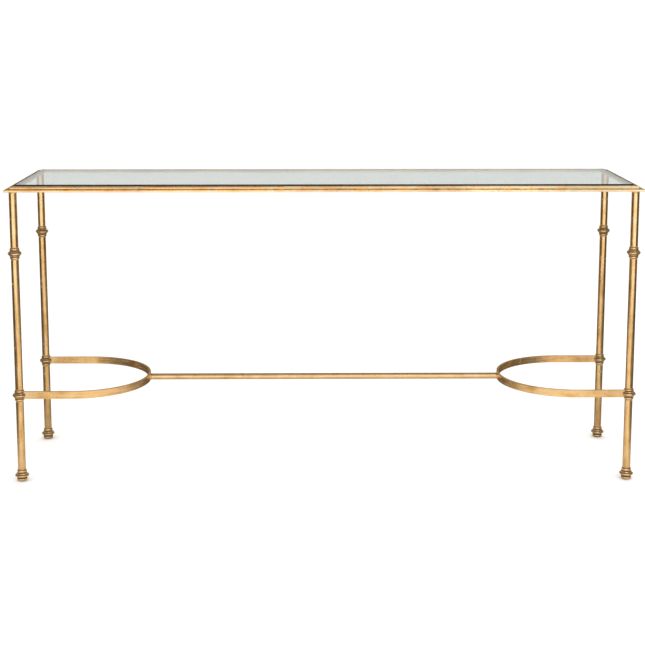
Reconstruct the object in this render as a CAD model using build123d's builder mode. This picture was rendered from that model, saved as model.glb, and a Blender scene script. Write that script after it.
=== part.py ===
"""Console table: a gold-leafed iron frame with a drop-in glass top.

Millimetres. +X runs along the table's length, -Y is the front and +Z is up. The origin is on the
floor under the middle of the table. The frame is welded up from bar, tube and turned pieces:

  top frame   four flat ledge bars and four round-faced rim bars, all mitred at the corners
  legs        four tubes, each with an upper collar, a middle collar and a turned foot
  stretcher   a flat bar bent to a U at each end, and one round tube between the two bends
  loose       the glass, the clear pads it lies on, and the glides under the feet
"""

import os

from build123d import *

# Overall size: length and depth over the ledge, height over the glass
table_length = 1524.0
table_depth = 381.0
table_height = 731.0

# Top frame
ledge_width = 35.0
ledge_thickness = 5.0
ledge_edge_radius = 0.8
rim_width = 10.0
rim_height = 8.0
rim_setback = 12.0
rim_top_radius = 1.0
rim_belly_z = 2.8
rim_foot_inset = 0.6
rim_shoulder_inset = 2.4

# Glass and its pads: the glass stands a little above the rim
glass_thickness = 9.5
glass_gap = 1.5
glass_corner_radius = 3.0
glass_edge_chamfer = 0.8
pad_radius = 4.5
pad_thickness = 1.2
pad_inset = 5.5
middle_pad_x = 370.0

# Legs
leg_radius = 9.5
leg_wall = 1.5
leg_inset = 18.5
collar_height = 26.0
collar_bore_gap = 0.05
upper_collar_z = 566.0
middle_collar_z = 216.0

# Feet and glides
foot_top_z = 28.5
foot_bottom_z = 1.0
spigot_length = 25.0
spigot_gap = 0.1
glide_radius = 8.4
glide_thickness = 2.5
glide_gap = 0.1

# Bows and stretcher
bow_height = 18.5
bow_thickness = 5.5
bow_edge_radius = 0.8
bow_straight = 125.0
weld_gap = 0.1
stretcher_radius = 7.75
stretcher_wall = 1.5

# Worked out from the sizes above
rim_z = table_height - glass_thickness - pad_thickness
ledge_z = rim_z - ledge_thickness
rim_inner_edge = rim_setback + rim_width
leg_x = table_length / 2 - leg_inset
leg_y = table_depth / 2 - leg_inset
bow_radius = leg_y
bow_centre_x = leg_x - bow_straight
bow_apex_x = bow_centre_x - bow_radius

legs = {
    "front_left": (-leg_x, -leg_y),
    "front_right": (leg_x, -leg_y),
    "rear_left": (-leg_x, leg_y),
    "rear_right": (leg_x, leg_y),
}

# Each side of the top frame: the way it faces, in degrees from +X, its length and its distance out
sides = {
    "front": (-90, table_length, table_depth / 2),
    "rear": (90, table_length, table_depth / 2),
    "left": (180, table_depth, table_length / 2),
    "right": (0, table_depth, table_length / 2),
}

os.makedirs("parts", exist_ok=True)


def save(piece, label):
    """Name a finished piece and write its STEP file."""
    piece.part.label = label
    export_step(piece.part, f"parts/{label}.step")


def flat(x, y, z):
    """A horizontal plane with its origin at x, y, z."""
    return Plane(origin=(x, y, z), x_dir=(1, 0, 0), z_dir=(0, 0, 1))


def upright(x, y, z):
    """A vertical plane for turned outlines: its X is a radius and its Y is height."""
    return Plane(origin=(x, y, z), x_dir=(1, 0, 0), z_dir=(0, -1, 0))


def turning_axis(x, y):
    """The vertical axis that a turned piece is spun about."""
    return Axis((x, y, 0), (0, 0, 1))


# ---------------------------------------------------------------- top frame


def end_plane(facing, length, reach, end):
    """The mitre plane at one end of a side. It faces away from the metal that stays."""
    out = Vector(1, 0, 0).rotate(Axis.Z, facing)
    along = Vector(0, 0, 1).cross(out)
    corner = out * reach + along * (end * length / 2)
    return Plane(origin=corner, z_dir=along * end - out)


def section_plane(facing, reach, z):
    """A side's cross-section plane: X runs inwards from its outer edge and Y runs up."""
    out = Vector(1, 0, 0).rotate(Axis.Z, facing)
    return Plane(origin=out * reach + Vector(0, 0, z), x_dir=-out, z_dir=Vector(0, 0, 1).cross(out))


for side, (facing, length, reach) in sides.items():
    # Flat bar, laid flat: its outer part stands out past the rim and its inner part carries the glass
    with BuildPart() as ledge:
        with BuildSketch(section_plane(facing, reach, ledge_z)) as bar_section:
            Rectangle(ledge_width, ledge_thickness, align=(Align.MIN, Align.MIN))
            fillet(bar_section.vertices(), ledge_edge_radius)
        extrude(amount=length / 2, both=True)
        for end in (-1, 1):
            split(bisect_by=end_plane(facing, length, reach, end), keep=Keep.BOTTOM)
    save(ledge, f"ledge_{side}")

    # Round-faced bar: the round face is outside and the flat one holds the glass in
    rim_reach = reach - rim_setback
    rim_length = length - 2 * rim_setback
    with BuildPart() as rim:
        with BuildSketch(section_plane(facing, rim_reach, rim_z)) as round_faced:
            with BuildLine():
                Polyline(
                    (rim_foot_inset, 0),
                    (rim_width, 0),
                    (rim_width, rim_height),
                    (rim_shoulder_inset, rim_height),
                )
                ThreePointArc(
                    (rim_shoulder_inset, rim_height),
                    (0, rim_belly_z),
                    (rim_foot_inset, 0),
                )
            make_face()
            top_corners = round_faced.vertices().group_by(Axis.Y)[-1]
            fillet(top_corners, rim_top_radius)
        extrude(amount=rim_length / 2, both=True)
        for end in (-1, 1):
            split(bisect_by=end_plane(facing, rim_length, rim_reach, end), keep=Keep.BOTTOM)
    save(rim, f"rim_{side}")

# ---------------------------------------------------------------- glass

opening_length = table_length - 2 * rim_inner_edge
opening_depth = table_depth - 2 * rim_inner_edge

with BuildPart() as glass_top:
    with BuildSketch(Plane.XY.offset(rim_z + pad_thickness)):
        RectangleRounded(
            opening_length - 2 * glass_gap,
            opening_depth - 2 * glass_gap,
            glass_corner_radius,
        )
    extrude(amount=glass_thickness)
    faces_up_and_down = glass_top.faces().filter_by(Axis.Z)
    chamfer(faces_up_and_down.edges(), glass_edge_chamfer)
save(glass_top, "glass_top")

# Small clear discs stuck to the ledge: one at each corner and two along each long side
pad_x = opening_length / 2 - glass_gap - pad_inset
pad_y = opening_depth / 2 - glass_gap - pad_inset
pad_places = [(x, y) for x in (-pad_x, -middle_pad_x, middle_pad_x, pad_x) for y in (-pad_y, pad_y)]
with BuildPart() as glass_pads:
    with BuildSketch(Plane.XY.offset(rim_z)):
        with Locations(*pad_places):
            Circle(pad_radius)
    extrude(amount=pad_thickness)
save(glass_pads, "glass_pads")

# ---------------------------------------------------------------- turned outlines

# The upper half of a collar, as radius and height from its middle: a bead, a groove, then a
# shoulder that slopes out to a narrow round nose. The lower half mirrors it.
lip_radius = 10.2
bead_radius = 11.75
bead_z = 10.4
groove_radius = 10.8
groove_top_z = 7.7
groove_bottom_z = 7.1
shoulder_radius = 12.1
shoulder_z = 6.3
nose_radius = 16.75
nose_edge_radius = 15.9
nose_edge_z = 1.3


def collar_outline(inner_radius, gap=0.0):
    """Draw a collar's half section. A gap makes it larger all round, for cutting other pieces."""
    top = collar_height / 2 + gap
    Polyline((inner_radius, 0), (inner_radius, top), (lip_radius + gap, top))
    ThreePointArc(
        (lip_radius + gap, top),
        (bead_radius + gap, bead_z),
        (groove_radius + gap, groove_top_z),
    )
    Polyline(
        (groove_radius + gap, groove_top_z),
        (groove_radius + gap, groove_bottom_z),
        (shoulder_radius + gap, shoulder_z),
        (nose_edge_radius + gap, nose_edge_z),
    )
    ThreePointArc(
        (nose_edge_radius + gap, nose_edge_z),
        (nose_radius - 0.25 + gap, nose_edge_z / 2),
        (nose_radius + gap, 0),
    )
    mirror(about=Plane.XZ)


# A foot, from its underside up, as radius and height: a round-edged base, a neck, a bulge with a
# narrow nose, a cove, and a bead where it meets the tube
base_radius = 12.4
base_edge_radius = 2.2
neck_radius = 11.9
neck_z = 8.0
bulge_radius = 17.0
bulge_z = 14.4
bulge_edge_radius = 16.2
bulge_half_edge = 1.3
cove_radius = 12.0
cove_z = 20.6
foot_bead_radius = 11.6
foot_bead_z = 24.6

# ---------------------------------------------------------------- legs

for place, (x, y) in legs.items():
    with BuildPart() as leg_tube:
        with BuildSketch(flat(x, y, foot_top_z)):
            Circle(leg_radius)
            Circle(leg_radius - leg_wall, mode=Mode.SUBTRACT)
        extrude(amount=ledge_z - foot_top_z)
    save(leg_tube, f"leg_tube_{place}")

    # Turned rings, slid over the tube and brazed
    for level, z in (("upper", upper_collar_z), ("middle", middle_collar_z)):
        with BuildPart() as collar:
            with BuildSketch(upright(x, y, z)):
                with BuildLine():
                    collar_outline(leg_radius + collar_bore_gap)
                make_face()
            revolve(axis=turning_axis(x, y))
        save(collar, f"{level}_collar_{place}")

    # Turned foot, with a spigot that goes up inside the tube and a recess below for the glide
    with BuildPart() as foot:
        with BuildSketch(upright(x, y, 0)):
            with BuildLine():
                Polyline(
                    (0, foot_top_z + spigot_length),
                    (0, foot_bottom_z),
                    (base_radius - base_edge_radius, foot_bottom_z),
                )
                RadiusArc(
                    (base_radius - base_edge_radius, foot_bottom_z),
                    (base_radius, foot_bottom_z + base_edge_radius),
                    -base_edge_radius,
                )
                Polyline(
                    (base_radius, foot_bottom_z + base_edge_radius),
                    (neck_radius, neck_z),
                    (bulge_edge_radius, bulge_z - bulge_half_edge),
                )
                ThreePointArc(
                    (bulge_edge_radius, bulge_z - bulge_half_edge),
                    (bulge_radius, bulge_z),
                    (bulge_edge_radius, bulge_z + bulge_half_edge),
                )
                Line((bulge_edge_radius, bulge_z + bulge_half_edge), (cove_radius, cove_z))
                ThreePointArc(
                    (cove_radius, cove_z),
                    (foot_bead_radius, foot_bead_z),
                    (leg_radius, foot_top_z),
                )
                Polyline(
                    (leg_radius, foot_top_z),
                    (leg_radius - leg_wall - spigot_gap, foot_top_z),
                    (leg_radius - leg_wall - spigot_gap, foot_top_z + spigot_length),
                    (0, foot_top_z + spigot_length),
                )
            make_face()
        revolve(axis=turning_axis(x, y))
        with BuildSketch(flat(x, y, foot_bottom_z)):
            Circle(glide_radius + glide_gap)
        extrude(amount=glide_thickness - foot_bottom_z, mode=Mode.SUBTRACT)
    save(foot, f"foot_{place}")

with BuildPart() as foot_glides:
    with BuildSketch(Plane.XY):
        with Locations(*legs.values()):
            Circle(glide_radius)
    extrude(amount=glide_thickness)
save(foot_glides, "foot_glides")

# ---------------------------------------------------------------- bows and stretcher

for side, way in (("left", -1), ("right", 1)):
    # Flat bar on edge, bent to a U that opens outwards. Its ends are coped round the middle collars
    with BuildPart() as bow:
        with BuildSketch(Plane.XY.offset(middle_collar_z - bow_height / 2)):
            with BuildLine() as centre_line:
                front_run = Line((way * leg_x, -leg_y), (way * bow_centre_x, -leg_y))
                ThreePointArc(front_run @ 1, (way * bow_apex_x, 0), (way * bow_centre_x, leg_y))
                Line((way * bow_centre_x, leg_y), (way * leg_x, leg_y))
            trace(centre_line.edges(), line_width=bow_thickness)
        extrude(amount=bow_height)
        long_edges = bow.edges().group_by(Axis.Z)[0] + bow.edges().group_by(Axis.Z)[-1]
        fillet(long_edges, bow_edge_radius)
        for y in (-leg_y, leg_y):
            with BuildSketch(upright(way * leg_x, y, middle_collar_z)):
                with BuildLine():
                    collar_outline(0, weld_gap)
                make_face()
            revolve(axis=turning_axis(way * leg_x, y), mode=Mode.SUBTRACT)
    save(bow, f"bow_{side}")

# Round tube from one bend to the other, its ends shaped to the bends
with BuildPart() as centre_stretcher:
    with BuildSketch(Plane.YZ.offset(-bow_apex_x)):
        with Locations((0, middle_collar_z)):
            Circle(stretcher_radius)
            Circle(stretcher_radius - stretcher_wall, mode=Mode.SUBTRACT)
    extrude(amount=2 * bow_apex_x)
    for way in (-1, 1):
        with BuildSketch(flat(way * bow_centre_x, 0, middle_collar_z - bow_height)):
            Circle(bow_radius + bow_thickness / 2 + weld_gap)
        extrude(amount=2 * bow_height, mode=Mode.SUBTRACT)
save(centre_stretcher, "centre_stretcher")
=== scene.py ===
import math

import bmesh
import bpy
from mathutils import Matrix, Vector


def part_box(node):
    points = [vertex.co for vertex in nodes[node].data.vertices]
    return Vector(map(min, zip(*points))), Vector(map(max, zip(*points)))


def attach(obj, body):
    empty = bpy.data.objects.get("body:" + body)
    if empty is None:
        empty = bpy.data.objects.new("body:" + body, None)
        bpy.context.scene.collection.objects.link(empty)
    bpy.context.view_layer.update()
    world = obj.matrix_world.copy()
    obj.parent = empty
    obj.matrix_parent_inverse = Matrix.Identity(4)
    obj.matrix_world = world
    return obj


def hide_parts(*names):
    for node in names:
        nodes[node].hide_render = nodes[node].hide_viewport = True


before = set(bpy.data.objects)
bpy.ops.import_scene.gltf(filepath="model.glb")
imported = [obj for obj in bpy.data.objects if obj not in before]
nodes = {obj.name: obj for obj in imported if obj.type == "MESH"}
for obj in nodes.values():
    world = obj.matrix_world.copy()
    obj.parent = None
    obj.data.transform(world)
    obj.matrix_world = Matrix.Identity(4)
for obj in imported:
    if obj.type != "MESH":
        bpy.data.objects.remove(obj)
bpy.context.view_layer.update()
millimetre = 0.001


# ---------------------------------------------------------------- studio
# A pale floor that runs out to the horizon, a white room, and three softboxes: a wide one low in front, one
# high up on the right, and one behind. Polished metal sees a dimmer room, dark at both sides and overhead,
# which is what draws the edges of the tubes.

class Field:
    """What comes out of a shader node, with the usual arithmetic: each operation adds a Math node."""

    def __init__(self, sheet, socket):
        self.sheet = sheet
        self.socket = socket

    def maths(self, operation, *values):
        return self.sheet.node("ShaderNodeMath", {"operation": operation}, dict(enumerate(values)))

    def maths_on(self, operation, *values):
        """Any other operation, with this value as its first number."""
        return self.maths(operation, self, *values)

    def __add__(self, other):
        return self.maths("ADD", self, other)

    def __radd__(self, other):
        return self.maths("ADD", other, self)

    def __sub__(self, other):
        return self.maths("SUBTRACT", self, other)

    def __rsub__(self, other):
        return self.maths("SUBTRACT", other, self)

    def __mul__(self, other):
        return self.maths("MULTIPLY", self, other)

    def __rmul__(self, other):
        return self.maths("MULTIPLY", other, self)

    def __truediv__(self, other):
        return self.maths("DIVIDE", self, other)

    def __rtruediv__(self, other):
        return self.maths("DIVIDE", other, self)

    def __pow__(self, other):
        return self.maths("POWER", self, other)

    def __rpow__(self, other):
        return self.maths("POWER", other, self)

    def __abs__(self):
        return self.maths("ABSOLUTE", self)

    def __neg__(self):
        return self.maths("MULTIPLY", self, -1)

    def over(self, low, high):
        """A smooth step: none below low, all above high. It falls instead if high is the lower one."""
        limits = {"Value": self, "From Min": low, "From Max": high}
        return self.sheet.node("ShaderNodeMapRange", {"interpolation_type": "SMOOTHSTEP"}, limits)


class Sheet:
    """A node tree being filled in. node() adds any node and hands back what comes out of it."""

    def __init__(self, owner):
        owner.use_nodes = True
        self.tree = owner.node_tree
        self.tree.nodes.clear()

    def node(self, kind, settings=None, sockets=None, out=0):
        made = self.tree.nodes.new(kind)
        for name, value in (settings or {}).items():
            if name == "stops":
                stops = made.color_ramp.elements
                while len(stops) < len(value):
                    stops.new(1)
                for stop, (position, colour) in zip(stops, value):
                    stop.position = position
                    stop.color = (*colour, 1)
            else:
                setattr(made, name, value)
        for name, value in (sockets or {}).items():
            if isinstance(value, Field):
                self.tree.links.new(value.socket, made.inputs[name])
            elif isinstance(value, tuple) and made.inputs[name].type == "RGBA":
                made.inputs[name].default_value = (*value, 1)
            else:
                made.inputs[name].default_value = value
        if made.outputs:
            return Field(self, made.outputs[out])

    def blend(self, share, first, second):
        """Two colours, mixed by a share of the second."""
        colours = {"Factor": share, 6: first, 7: second}
        return self.node("ShaderNodeMix", {"data_type": "RGBA"}, colours, out=2)


scene = bpy.context.scene
scene.view_settings.view_transform = "Standard"

# How bright the room is to everything but a reflection, its tint, and how bright a reflection sees the ceiling
white_room = 1.17
room_tint = (1.0, 0.985, 0.955)
dim_ceiling = 0.14
room = bpy.data.worlds.new("studio_light")
scene.world = room
air = Sheet(room)
direction = air.node("ShaderNodeTexCoord", out="Generated")
east = air.node("ShaderNodeSeparateXYZ", sockets={"Vector": direction}, out="X")
north = air.node("ShaderNodeSeparateXYZ", sockets={"Vector": direction}, out="Y")
height = air.node("ShaderNodeSeparateXYZ", sockets={"Vector": direction}, out="Z")
bearing = north / (east * east + north * north + 0.0001) ** 0.5
in_front = (-bearing).over(0.60, 0.95)
behind = bearing.over(0.50, 0.80)
floor_glow = 0.05 + in_front * 0.75 + behind * 0.55
wall_glow = 0.20 + in_front * 0.40 + behind * 0.46
overhead = height.over(0.22, 0.46)
sky_glow = wall_glow * (1 - overhead) + overhead * dim_ceiling
above = height.over(-0.13, -0.04)
studio = floor_glow * (1 - above) + sky_glow * above
is_reflection = air.node("ShaderNodeLightPath", out="Is Glossy Ray")
glow = is_reflection * studio + (1 - is_reflection) * white_room
shine = air.node("ShaderNodeBackground", sockets={"Color": room_tint, "Strength": glow})
air.node("ShaderNodeOutputWorld", sockets={"Surface": shine})


def lay_disc(name, radius, rise, material):
    """Lay a flat disc under the table."""
    mesh = bpy.data.meshes.new(name)
    shape = bmesh.new()
    bmesh.ops.create_circle(shape, cap_ends=True, segments=64, radius=radius)
    bmesh.ops.translate(shape, vec=(0, 0, rise), verts=shape.verts)
    shape.to_mesh(mesh)
    shape.free()
    mesh.materials.append(material)
    disc = bpy.data.objects.new(name, mesh)
    scene.collection.objects.link(disc)
    return disc


floor_paint = bpy.data.materials.new("pale_floor")
paint = Sheet(floor_paint)
floor_shader = paint.node(
    "ShaderNodeBsdfPrincipled",
    sockets={"Base Color": (0.93, 0.93, 0.925), "Roughness": 0.9, "Specular IOR Level": 0.1},
)
paint.node("ShaderNodeOutputMaterial", sockets={"Surface": floor_shader})
floor = lay_disc("floor", 60, 0, floor_paint)
floor.visible_glossy = False

# The paper under the table, as polished metal sees it, with its light painted on: lit in front, and darker at
# both sides and behind
unlit_paper, lit_paper = (0.09, 0.09, 0.09), (0.70, 0.68, 0.62)
sweep_paint = bpy.data.materials.new("paper_with_painted_light")
paper = Sheet(sweep_paint)
on_paper = paper.node("ShaderNodeTexCoord", out="Object")
paper_x = paper.node("ShaderNodeSeparateXYZ", sockets={"Vector": on_paper}, out="X")
paper_y = paper.node("ShaderNodeSeparateXYZ", sockets={"Vector": on_paper}, out="Y")
lit = paper_y.over(0.65, -0.55) * abs(paper_x).over(1.25, 0.75)
paper_shader = paper.node(
    "ShaderNodeBsdfPrincipled",
    sockets={"Base Color": paper.blend(lit, unlit_paper, lit_paper), "Roughness": 1.0},
)
paper.node("ShaderNodeOutputMaterial", sockets={"Surface": paper_shader})
sweep = lay_disc("sweep", 2.2, 0.1 * millimetre, sweep_paint)
for ray in ("camera", "diffuse", "transmission", "shadow"):
    setattr(sweep, f"visible_{ray}", False)

# Each softbox: its size, its brightness, and where it stands. All of them point at the middle of the table,
# none higher than the aim height
softbox_tint = (0.96, 1.0, 1.12)
aim_height = 0.6
softboxes = {
    "front_softbox": ((3.7, 1.4), 0.66, (0, -1.50, 0.85)),
    "top_softbox": ((2.0, 1.2), 1.1, (0.9, -1.7, 2.6)),
    "back_softbox": ((3.4, 1.1), 0.8, (0.3, 2.3, 2.0)),
}
for name, (size, brightness, stand) in softboxes.items():
    softbox = bpy.data.lights.new(name, "AREA")
    softbox.shape = "RECTANGLE"
    softbox.size, softbox.size_y = size
    softbox.energy = brightness * math.pi * size[0] * size[1]
    softbox.color = softbox_tint
    lamp = bpy.data.objects.new(name, softbox)
    lamp.location = stand
    aim = Vector((0, 0, min(stand[2], aim_height))) - lamp.location
    lamp.rotation_euler = aim.to_track_quat("-Z", "Y").to_euler()
    lamp.visible_camera = False
    lamp.visible_transmission = False
    scene.collection.objects.link(lamp)

# The camera stands a little left of the middle, higher than the top, and looks slightly down. Its lens is
# shifted so that the legs stay nearly upright
sensor_width = 36
focal_length = 1380 / 645 * sensor_width
look_down = 8.7
turn_right = 0.57
lens = bpy.data.cameras.new("camera")
lens.sensor_width = sensor_width
lens.lens = focal_length
lens.shift_y = -0.15
camera = bpy.data.objects.new("camera", lens)
camera.location = (-0.0381, -3.4387, 1.1318)
camera.rotation_euler = (math.radians(90 - look_down), 0, math.radians(-turn_right))
scene.collection.objects.link(camera)
scene.camera = camera


# ---------------------------------------------------------------- top frame
# Flat bar laid on the legs, with a round-faced bar welded on it, mitred at the corners. Iron, covered in
# squares of gold leaf, then rubbed with a brown glaze that stays in the mitres, in the brush marks and along
# the laps between one square and the next. The crease between ledge and rim, and the rims' tops, are darkened
# with painted shade.

deep_gold = (0.70, 0.385, 0.135)
warm_gold = (0.92, 0.575, 0.25)
pale_gold = (0.98, 0.67, 0.36)
white_gold = (0.98, 0.84, 0.52)
gold_at_a_slant = (1.0, 0.84, 0.58)
brown_glaze_and_shade = (0.085, 0.044, 0.015)
leaf_square = 78 * millimetre


class Gilding(Sheet):
    """A gold-leaf finish being made: where a point is on the table, and what has been laid there."""

    def __init__(self, name):
        self.material = bpy.data.materials.new(name)
        super().__init__(self.material)
        self.place = self.node("ShaderNodeTexCoord", out="Object")
        self.x, self.y, self.z = (
            self.node("ShaderNodeSeparateXYZ", sockets={"Vector": self.place}, out=axis) for axis in "XYZ"
        )

    def vector(self, x, y, z):
        return self.node("ShaderNodeCombineXYZ", sockets={"X": x, "Y": y, "Z": z})

    def cloud(self, vector, scale, detail, rough=0.55):
        """Fractal noise, from none to all."""
        sockets = {"Vector": vector, "Scale": scale, "Detail": detail, "Roughness": rough}
        return self.node("ShaderNodeTexNoise", sockets=sockets, out="Fac")

    def finish(self, along, streaks, dirt_and_painted_shade, wear, lap=1.0, matt=0.14, pale=0.0):
        """Lay the leaf and glaze it. along is the distance along the piece, and streaks is the place the brush
        marks are drawn from, stretched along it. dirt_and_painted_shade is glaze lying in seams and grooves
        together with painted shade in creases, grooves and along tops, wear how much is left in the marks, lap
        how strongly the leaf's laps show, matt the least roughness, and pale how far the gold is shifted to
        its lighter tones, which on the rails and bows also carries painted light."""
        patches = self.cloud(self.place, scale=38, detail=3)
        brushing = self.cloud(streaks, scale=1.0, detail=5, rough=0.62)
        specks = self.cloud(self.place, scale=520, detail=3, rough=0.6)
        tone = patches * 0.42 + brushing * 0.58 + pale
        gold = self.node(
            "ShaderNodeValToRGB",
            {"stops": [(0.36, deep_gold), (0.50, warm_gold), (0.62, pale_gold), (0.74, white_gold)]},
            {"Fac": tone},
        )
        wander = self.cloud(self.place, scale=60, detail=2) * 0.35
        square = (along / leaf_square + wander).maths_on("FRACT")
        laps = abs(square - 0.5).over(0.018, 0.004) * patches.over(0.42, 0.58) * 0.30 * lap
        rubbed = brushing.over(0.55, 0.72) * patches.over(0.42, 0.62) * wear
        chips = specks.over(0.67, 0.74) * patches.over(0.50, 0.62) * 0.8
        glaze_and_painted_shade = self.node("ShaderNodeClamp", sockets={"Value": rubbed + laps + chips + dirt_and_painted_shade})
        colour = self.blend(glaze_and_painted_shade, gold, brown_glaze_and_shade)
        relief = brushing * 0.5 + patches * 0.25 + specks * 0.25 - glaze_and_painted_shade * 0.3
        bump = self.node("ShaderNodeBump", sockets={"Strength": 0.45, "Distance": 0.0010, "Height": relief})
        shader = self.node(
            "ShaderNodeBsdfPrincipled",
            sockets={
                "Base Color": colour,
                "Metallic": 0.97 - glaze_and_painted_shade * 0.90,
                "Specular IOR Level": 0.12,
                "Specular Tint": gold_at_a_slant,
                "Roughness": matt + brushing * 0.13 + glaze_and_painted_shade * 0.72,
                "Coat Weight": (1 - glaze_and_painted_shade) * 0.04,
                "Coat Roughness": 0.20,
                "Normal": bump,
            },
        )
        self.node("ShaderNodeOutputMaterial", sockets={"Surface": shader})
        return self.material


def paint_node(name, material):
    """Put a material on a CAD piece."""
    nodes[name].data.materials.clear()
    nodes[name].data.materials.append(material)


# The rim's outer shoulder is rounded, and its top is flat from there in. Both distances are measured in
# from the table's edge: to that flat, and to the inner face, which stands round the glass
rim_shoulder = 2.4 * millimetre
ledge_low, ledge_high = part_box("ledge_front")
table_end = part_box("ledge_right")[1].x
table_front = -ledge_low.y
ledge_top = ledge_high.z
rim_low, rim_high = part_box("rim_front")
flat_set_in = table_front + rim_low.y + rim_shoulder
glass_set_in = table_front + rim_high.y

# How quickly the brush marks change along the stroke and across it
slow, fast = 15, 230

# The crease between ledge and rim is darkened with painted shade, glaze lies in the mitres, and the rims' tops
# are darkened with painted shade: the short ones darker, and further over their shoulders. For each finish:
# its bars, how dark the painted shade on top is, and how far it reaches down and out from the flat, in
# millimetres
for name, sides, darkness, reach_down, reach_out in (
    ("leafed_rail_long", ("front", "rear"), 0.75, 0.7, 1.0),
    ("leafed_rail_short", ("left", "right"), 0.92, 2.2, 3.0),
):
    leaf = Gilding(name)
    is_long = name.endswith("long")
    along, across = (leaf.x, leaf.y) if is_long else (leaf.y, leaf.x)
    streaks = leaf.vector(along * slow, across * fast, leaf.z * fast)
    uneven = leaf.cloud(leaf.vector(along * 40, across * 5, 0), scale=1.0, detail=2)
    cover = uneven.over(0.40, 0.70) * 0.55 if is_long else 0.75
    inwards = (table_end - abs(leaf.x)).maths_on("MINIMUM", table_front - abs(leaf.y))
    outside = inwards.over(glass_set_in, glass_set_in - 0.5 * millimetre)
    # Painted shade: the crease between ledge and rim is darkened
    painted_shade_in_crease = abs(leaf.z - ledge_top).over(0.9 * millimetre, 0.2 * millimetre) * outside * cover
    off_mitre = abs((table_end - abs(leaf.x)) - (table_front - abs(leaf.y)))
    mitre = off_mitre.over(0.7 * millimetre, 0.2 * millimetre) * 0.6
    # Painted shade: the rims are darkened on top, the short ones more
    on_top = leaf.z.over(rim_high.z - reach_down * millimetre, rim_high.z - 0.1 * millimetre)
    painted_shade_on_rim_top = on_top * inwards.over(flat_set_in - reach_out * millimetre, flat_set_in) * darkness
    blotches = leaf.cloud(leaf.vector(along * 5, across * 2, 0), scale=1.0, detail=3)
    handled = blotches.over(0.40, 0.70) * 0.22
    dirt_and_painted_shade = painted_shade_in_crease + mitre + painted_shade_on_rim_top + handled
    # Painted light: the gold grows paler towards the right, as if that end were lit more strongly
    material = leaf.finish(along, streaks, dirt_and_painted_shade, wear=0.4, pale=0.09 + leaf.x * 0.11)
    for side in sides:
        paint_node(f"ledge_{side}", material)
        paint_node(f"rim_{side}", material)

# ---------------------------------------------------------------- legs
# Round iron tube, leafed like the rails, with the brush marks running up and down. It is darker where the tube
# goes into a collar, into the foot and up to the top frame.

places = ("front_left", "front_right", "rear_left", "rear_right")
leg_low, leg_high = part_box("leg_tube_front_right")
leg_x = (leg_low.x + leg_high.x) / 2
leg_y = -(leg_low.y + leg_high.y) / 2
leg_radius = (leg_high.x - leg_low.x) / 2
collar_heights = {}
for level in ("upper", "middle"):
    collar_low, collar_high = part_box(f"{level}_collar_front_right")
    collar_heights[level] = (collar_low.z + collar_high.z) / 2
half_collar = (collar_high.z - collar_low.z) / 2

leaf = Gilding("leafed_leg")
streaks = leaf.vector(leaf.x * fast, leaf.y * fast, leaf.z * slow)
darkened = (leaf.z - leg_high.z).over(-6 * millimetre, 0) + (leaf.z - leg_low.z).over(7 * millimetre, 0)
for level_z in collar_heights.values():
    darkened = darkened + abs(leaf.z - level_z).over(half_collar + 4 * millimetre, half_collar)
leg_finish = leaf.finish(leaf.z, streaks, dirt_and_painted_shade=darkened * 0.55, wear=0.3, matt=0.10)
for place in places:
    paint_node(f"leg_tube_{place}", leg_finish)

# ---------------------------------------------------------------- collars
# Turned iron rings brazed round each leg, one high up and one where the bow joins: a bead, a groove and a
# shoulder that runs out to a narrow nose, and the same again below. Leafed, then darkened in the grooves,
# partly by glaze and partly with painted shade.

steps_round = 72


def spin_outline(shape, outline, spot):
    """Turn an outline about a vertical axis at spot. Each of its points is a radius, a height above the spot
    and how dark it is made there, by glaze and painted shade together, the first two in millimetres. An
    outline that starts away from the axis is closed to a ring."""
    hollow = shape.verts.layers.float.get("hollow") or shape.verts.layers.float.new("hollow")
    chain = []
    for radius, rise, share in outline:
        corner = shape.verts.new(spot + Vector((radius, 0, rise)) * millimetre)
        corner[hollow] = share
        chain.append(corner)
    ends = list(zip(chain, chain[1:]))
    if outline[0][0] > 0:
        ends.append((chain[-1], chain[0]))
    edges = [shape.edges.new(pair) for pair in ends]
    bmesh.ops.spin(
        shape,
        geom=chain + edges,
        cent=spot,
        axis=(0, 0, 1),
        angle=math.tau,
        steps=steps_round,
        use_merge=True,
        use_duplicate=False,
    )


sharp_from = math.radians(38)


def make_piece(name, shape, material):
    """Close a shape up, turn its faces outwards, smooth it and put it on the frame."""
    bmesh.ops.remove_doubles(shape, verts=shape.verts, dist=0.01 * millimetre)
    bmesh.ops.recalc_face_normals(shape, faces=shape.faces)
    mesh = bpy.data.meshes.new(name)
    shape.to_mesh(mesh)
    shape.free()
    mesh.shade_smooth()
    mesh.set_sharp_from_angle(angle=sharp_from)
    mesh.materials.append(material)
    piece = bpy.data.objects.new(name, mesh)
    scene.collection.objects.link(piece)
    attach(piece, "frame")
    return piece


def leg_spot(place, z):
    """A point on a leg's axis."""
    depth, side = place.split("_")
    return Vector((-leg_x if side == "left" else leg_x, -leg_y if depth == "front" else leg_y, z))


# The upper half of a collar's outline, from its end down to its middle. The bore clears the tube a little
bore = leg_radius / millimetre + 0.05
half_ring = [
    (10.0, 13.0, 1.0),
    (10.7, 12.7, 0.7),
    (11.5, 11.7, 0.1),
    (11.8, 10.5, 0.0),
    (11.6, 9.4, 0.2),
    (11.0, 8.3, 0.8),
    (10.7, 7.5, 1.0),
    (11.1, 6.9, 0.9),
    (12.0, 6.5, 0.25),
    (12.6, 5.7, 0.1),
    (13.2, 4.9, 0.25),
    (14.0, 3.9, 0.75),
    (14.6, 2.9, 0.9),
    (15.6, 2.2, 0.4),
    (16.4, 1.2, 0.05),
    (16.7, 0.4, 0.0),
]
ring_end = half_ring[0][1]
ring_outline = [(bore, ring_end, 1.0)] + half_ring
ring_outline += [(radius, -rise, share) for radius, rise, share in reversed(half_ring)]
ring_outline += [(bore, -ring_end, 1.0)]

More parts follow.
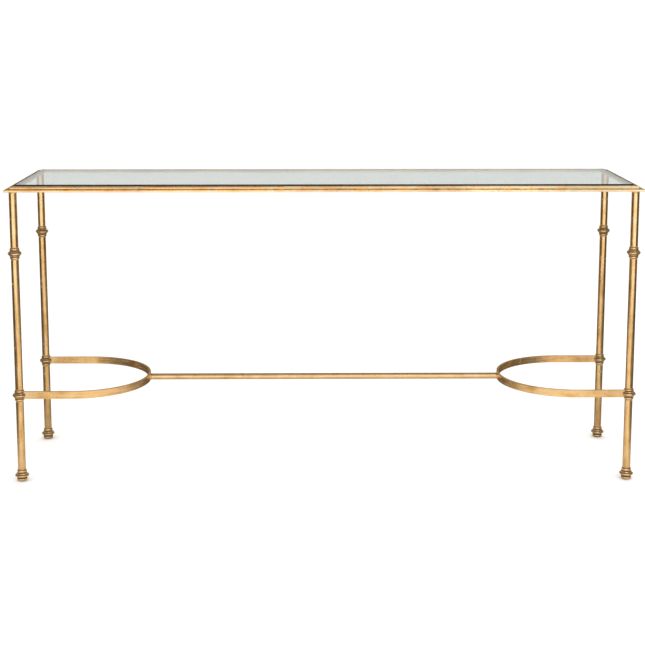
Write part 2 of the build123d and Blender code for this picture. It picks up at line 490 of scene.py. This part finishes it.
# The turning marks run round the axis, close together and a little uneven. never_zero keeps a square root off
# zero, where its slope is endless
ring_marks = 420
never_zero = 1e-9
leaf = Gilding("leafed_turning")
from_axis = ((abs(leaf.x) - leg_x) ** 2 + (abs(leaf.y) - leg_y) ** 2 + never_zero) ** 0.5
unevenness = leaf.cloud(leaf.place, scale=70, detail=2) * 1.6
turning_marks = leaf.vector(from_axis * ring_marks, leaf.z * ring_marks, unevenness)
# The grooves are darkened by glaze and painted shade together
hollows = leaf.node("ShaderNodeAttribute", {"attribute_name": "hollow"}, out="Fac")
turned_finish = leaf.finish(
    leaf.z, turning_marks, dirt_and_painted_shade=hollows.over(0.10, 0.70), wear=0.3, lap=0.0, matt=0.06, pale=0.09
)

for place in places:
    for level, level_z in collar_heights.items():
        ring = bmesh.new()
        spin_outline(ring, ring_outline, leg_spot(place, level_z))
        collar = make_piece(f"{level}_ring_{place}", ring, turned_finish)
        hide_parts(f"{level}_collar_{place}")

# ---------------------------------------------------------------- feet
# Turned iron feet, each with a spigot up inside its tube: a bead at the top, a cove, a bulge with a narrow
# nose, a neck and a round-edged base. The same leaf, glaze and painted shade in the grooves as the collars.

# From the middle of the spigot's end, down the outside, and in to the middle of the recess for the glide
foot_outline = [
    (0.0, 30.0, 1.0),
    (7.9, 30.0, 1.0),
    (9.4, 28.5, 1.0),
    (10.3, 28.1, 0.7),
    (11.2, 26.8, 0.15),
    (11.7, 25.0, 0.0),
    (11.5, 23.3, 0.2),
    (11.0, 21.8, 0.9),
    (11.4, 20.9, 0.9),
    (12.4, 20.3, 0.3),
    (13.0, 19.4, 0.1),
    (13.7, 18.4, 0.3),
    (14.7, 17.2, 0.8),
    (15.9, 16.0, 0.45),
    (16.7, 15.2, 0.05),
    (17.0, 14.3, 0.0),
    (16.6, 13.3, 0.1),
    (15.6, 12.2, 0.3),
    (14.0, 10.8, 0.2),
    (12.5, 9.4, 0.7),
    (11.7, 8.2, 1.0),
    (11.8, 7.2, 0.9),
    (12.3, 6.3, 0.2),
    (12.6, 4.8, 0.0),
    (12.5, 3.2, 0.05),
    (11.9, 1.9, 0.3),
    (10.6, 1.1, 0.8),
    (8.5, 1.0, 1.0),
    (8.5, 2.5, 1.0),
    (0.0, 2.5, 1.0),
]
for place in places:
    turned = bmesh.new()
    spin_outline(turned, foot_outline, leg_spot(place, 0))
    foot = make_piece(f"turned_foot_{place}", turned, turned_finish)
    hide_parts(f"foot_{place}")

# ---------------------------------------------------------------- glides
# Dark moulded plastic discs pressed into the undersides of the feet, and what the table stands on. They have
# a rounded edge, a shallow hollow in the middle, and a fine matt skin that scuffs paler.

moulded_black, scuffed_black = (0.022, 0.020, 0.018), (0.060, 0.055, 0.050)
moulded = bpy.data.materials.new("moulded_glide")
skin = Sheet(moulded)
place_on_glide = skin.node("ShaderNodeTexCoord", out="Object")
fine = {"Vector": place_on_glide, "Scale": 900, "Detail": 3}
coarse = {"Vector": place_on_glide, "Scale": 120, "Detail": 4}
grain = skin.node("ShaderNodeTexNoise", sockets=fine, out="Fac")
scuffs = skin.node("ShaderNodeTexNoise", sockets=coarse, out="Fac")
skin_bump = skin.node("ShaderNodeBump", sockets={"Strength": 0.3, "Distance": 0.0002, "Height": grain})
skin_shader = skin.node(
    "ShaderNodeBsdfPrincipled",
    sockets={
        "Base Color": skin.blend(scuffs.over(0.5, 0.7), moulded_black, scuffed_black),
        "Roughness": 0.55 + grain * 0.2,
        "Normal": skin_bump,
    },
)
skin.node("ShaderNodeOutputMaterial", sockets={"Surface": skin_shader})

glide_outline = [
    (0.0, 2.4, 0),
    (8.1, 2.4, 0),
    (8.3, 1.0, 0),
    (8.2, 0.5, 0),
    (7.8, 0.1, 0),
    (7.2, 0.0, 0),
    (5.2, 0.0, 0),
    (4.9, 0.3, 0),
    (0.0, 0.3, 0),
]
discs = bmesh.new()
for place in places:
    spin_outline(discs, glide_outline, leg_spot(place, 0))
glides = make_piece("moulded_glides", discs, moulded)
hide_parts("foot_glides")

# ---------------------------------------------------------------- bows
# Flat iron bar on edge, bent to a U at each end of the table and let into the middle collars. The leaf was
# brushed on along the bar, so its marks follow the bend. The top edge is darkened with painted shade, and next
# to the collars the gold is made paler as a painted highlight.

bow_low, bow_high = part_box("bow_right")
bow_z = (bow_low.z + bow_high.z) / 2
bow_radius = leg_y
half_bar = bow_high.y - leg_y
bow_apex = bow_low.x + half_bar
bow_centre = bow_apex + bow_radius

# The place along the bar and across it, worked out on the straight runs and round the bend. Each run has its
# own marks
leaf = Gilding("leafed_bow")
past_centre = bow_centre - abs(leaf.x)
bent = past_centre.over(-0.5 * millimetre, 0.5 * millimetre)
angle = past_centre.maths_on("ARCTAN2", abs(leaf.y))
from_centre = (past_centre ** 2 + leaf.y ** 2 + never_zero) ** 0.5
along = bent * (angle * bow_radius) - (1 - bent) * (abs(leaf.x) - bow_centre)
across = bent * from_centre + (1 - bent) * abs(leaf.y)
which_run = leaf.x.over(-0.01, 0.01) * 7 + leaf.y.over(-0.01, 0.01) * 3
streaks = leaf.vector(along * slow + which_run, across * fast, leaf.z * fast)
# Painted shade along the bar's top edge
painted_shade_top_edge = (leaf.z - bow_z).over(8.2 * millimetre, 9.1 * millimetre)
# Painted highlight: the gold is made paler next to the collars
painted_highlight_by_collar = (abs(leaf.x) - (leg_x - 36 * millimetre)).over(0, 14 * millimetre)
bow_finish = leaf.finish(along, streaks, dirt_and_painted_shade=painted_shade_top_edge * 0.65, wear=0.22, lap=0.4, pale=painted_highlight_by_collar * 0.10)
paint_node("bow_left", bow_finish)
paint_node("bow_right", bow_finish)

# ---------------------------------------------------------------- stretcher
# Round iron tube, welded at each end to the outside of a bend. Leafed and brushed along its length, darker
# where it runs into the bends, and with painted shade along its top and underneath.

leaf = Gilding("leafed_stretcher")
streaks = leaf.vector(leaf.x * slow, leaf.y * fast, leaf.z * fast)
into_bend = (abs(leaf.x) - (bow_apex - 8 * millimetre)).over(0, 5 * millimetre)
# Painted shade along the top of the tube and underneath it
painted_shade_along_top = (leaf.z - bow_z).over(3.0 * millimetre, 6.5 * millimetre)
painted_shade_underneath = (bow_z - leaf.z).over(3.0 * millimetre, 7.0 * millimetre)
darkened = into_bend * 0.5 + painted_shade_along_top * 0.75 + painted_shade_underneath * 0.40
paint_node("centre_stretcher", leaf.finish(leaf.x, streaks, dirt_and_painted_shade=darkened, wear=0.25, pale=0.04))

# ---------------------------------------------------------------- weld metal
# Rippled fillets where the bows enter their collars, a filed flare at each end of the stretcher and a
# smaller one at the top of each leg. Iron, leafed over with everything else.

leaf = Gilding("leafed_weld")
weld_marks = leaf.vector(leaf.x * fast, leaf.y * fast, leaf.z * fast)
weld_finish = leaf.finish(leaf.z, weld_marks, dirt_and_painted_shade=0.08, wear=0.3, lap=0.0, pale=0.10)


def ring_radius(rise):
    """A collar's radius at a height from its middle, read off its outline, in millimetres."""
    for (outer, low, _), (inner, high, _) in zip(reversed(half_ring), list(reversed(half_ring))[1:]):
        if low <= rise <= high:
            return outer + (inner - outer) * (rise - low) / (high - low)
    return half_ring[-1][0]


# A row of ripples down each side of the bar, as many below its middle as above, and leaning. They stand a
# little proud of the collar, and only their outer parts show at the bar's faces
half_height = (bow_high.z - bow_low.z) / 2 / millimetre
ripples_each_way = 6
pitches_to_edge = 6.3
ripple_radius = 1.6 * millimetre
ripple_lean = math.radians(18)
ripple_off_middle = half_bar / 2 / millimetre + 0.3
ripple_proud = 0.3
squash = Matrix.Diagonal((1.05, 0.80, 0.85, 1))
for place in places:
    ripples = bmesh.new()
    inward = 1 if "left" in place else -1
    hub = leg_spot(place, bow_z)
    lean = Matrix.Rotation(ripple_lean * inward, 4, "Y")
    for count in range(-ripples_each_way, ripples_each_way + 1):
        rise = count * half_height / pitches_to_edge
        for way in (-1, 1):
            spread = way * ripple_off_middle
            reach = math.sqrt(ring_radius(abs(rise)) ** 2 - spread ** 2) + ripple_proud
            ripple = bmesh.ops.create_uvsphere(ripples, u_segments=10, v_segments=6, radius=ripple_radius)
            shift = Matrix.Translation(hub + Vector((inward * reach, spread, rise)) * millimetre)
            bmesh.ops.transform(ripples, matrix=shift @ lean @ squash, verts=ripple["verts"])
    make_piece(f"bow_weld_{place}", ripples, weld_finish)

# The stretcher's flare starts inside the bar, and its thin end shows
flare = [
    (7.6, 0, 0),
    (9.3, 0, 0),
    (9.2, 0.5, 0),
    (8.5, 1.0, 0),
    (8.1, 1.8, 0),
    (7.9, 2.8, 0),
    (7.6, 3.6, 0),
]
flare_start = bow_apex - half_bar / 2 + 0.4 * millimetre
for side, way in (("left", -1), ("right", 1)):
    fillet = bmesh.new()
    spin_outline(fillet, flare, Vector((0, 0, 0)))
    turn = Matrix.Rotation(math.radians(-90) * way, 4, "Y")
    tube_end = Matrix.Translation((way * flare_start, 0, bow_z))
    bmesh.ops.transform(fillet, matrix=tube_end @ turn, verts=fillet.verts)
    make_piece(f"stretcher_weld_{side}", fillet, weld_finish)

# The fillet under the ledge, round the top of a leg
neck = [
    (9.4, 0, 0),
    (11.4, 0, 0),
    (11.2, -0.4, 0),
    (10.4, -0.9, 0),
    (10.0, -1.6, 0),
    (9.7, -2.6, 0),
    (9.4, -3.2, 0),
]
for place in places:
    fillet = bmesh.new()
    spin_outline(fillet, neck, leg_spot(place, leg_high.z))
    make_piece(f"leg_weld_{place}", fillet, weld_finish)

# ---------------------------------------------------------------- glass top
# A pane of clear float glass with ground and polished edges, laid loose in the rim. It is faintly green, and
# much greener and darker along its edges.

glass_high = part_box("glass_top")[1]
pane_tint, edge_tint = (0.80, 0.90, 0.895), (0.022, 0.028, 0.016)
glass = bpy.data.materials.new("clear_glass")
pane = Sheet(glass)
spot = pane.node("ShaderNodeTexCoord", out="Object")
pane_x = pane.node("ShaderNodeSeparateXYZ", sockets={"Vector": spot}, out="X")
pane_y = pane.node("ShaderNodeSeparateXYZ", sockets={"Vector": spot}, out="Y")
in_from_end = glass_high.x - abs(pane_x)
in_from_side = glass_high.y - abs(pane_y)
nearest = in_from_end.maths_on("MINIMUM", in_from_side)
edge = nearest.over(1.2 * millimetre, 0.5 * millimetre)
smears = pane.node("ShaderNodeTexNoise", sockets={"Vector": spot, "Scale": 9, "Detail": 4}, out="Fac")
pane_shader = pane.node(
    "ShaderNodeBsdfPrincipled",
    sockets={
        "Base Color": pane.blend(edge, pane_tint, edge_tint),
        "Roughness": smears.over(0.45, 0.75) * 0.010 + edge * 0.08,
        "IOR": 1.5,
        "Transmission Weight": 1.0,
    },
)
pane.node("ShaderNodeOutputMaterial", sockets={"Surface": pane_shader})
paint_node("glass_top", glass)

# ---------------------------------------------------------------- glass pads
# Clear soft plastic discs stuck to the ledge under the glass, one at each corner and two more along each long
# side. The glass rests on them and nothing else holds it.

clear_gel, cloudy_gel = (0.90, 0.91, 0.89), (0.80, 0.82, 0.80)
soft_clear = bpy.data.materials.new("clear_pad")
gel = Sheet(soft_clear)
gel_place = gel.node("ShaderNodeTexCoord", out="Object")
cloudy = gel.node("ShaderNodeTexNoise", sockets={"Vector": gel_place, "Scale": 300, "Detail": 2}, out="Fac")
gel_shader = gel.node(
    "ShaderNodeBsdfPrincipled",
    sockets={
        "Base Color": gel.blend(cloudy, clear_gel, cloudy_gel),
        "Roughness": 0.12 + cloudy * 0.2,
        "IOR": 1.42,
        "Transmission Weight": 0.9,
    },
)
gel.node("ShaderNodeOutputMaterial", sockets={"Surface": gel_shader})

# A pad's top stays a hair under the glass
pad_low, pad_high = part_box("glass_pads")
pad_radius = 4.5
pad_rise = (pad_high.z - pad_low.z) / millimetre
pad_top = pad_rise - 0.02
pad_outline = [
    (0.0, 0.0, 0),
    (pad_radius, 0.0, 0),
    (pad_radius - 0.1, 0.5 * pad_rise, 0),
    (pad_radius - 0.6, 0.85 * pad_rise, 0),
    (pad_radius - 1.6, pad_top, 0),
    (0.0, pad_top, 0),
]
corner_pad_x = pad_high.x - pad_radius * millimetre
middle_pad_x = 0.37
pad_y = pad_high.y - pad_radius * millimetre
pad_shape = bmesh.new()
for x in (-corner_pad_x, -middle_pad_x, middle_pad_x, corner_pad_x):
    for y in (-pad_y, pad_y):
        spin_outline(pad_shape, pad_outline, Vector((x, y, pad_low.z)))
pads = make_piece("soft_pads", pad_shape, soft_clear)
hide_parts("glass_pads")
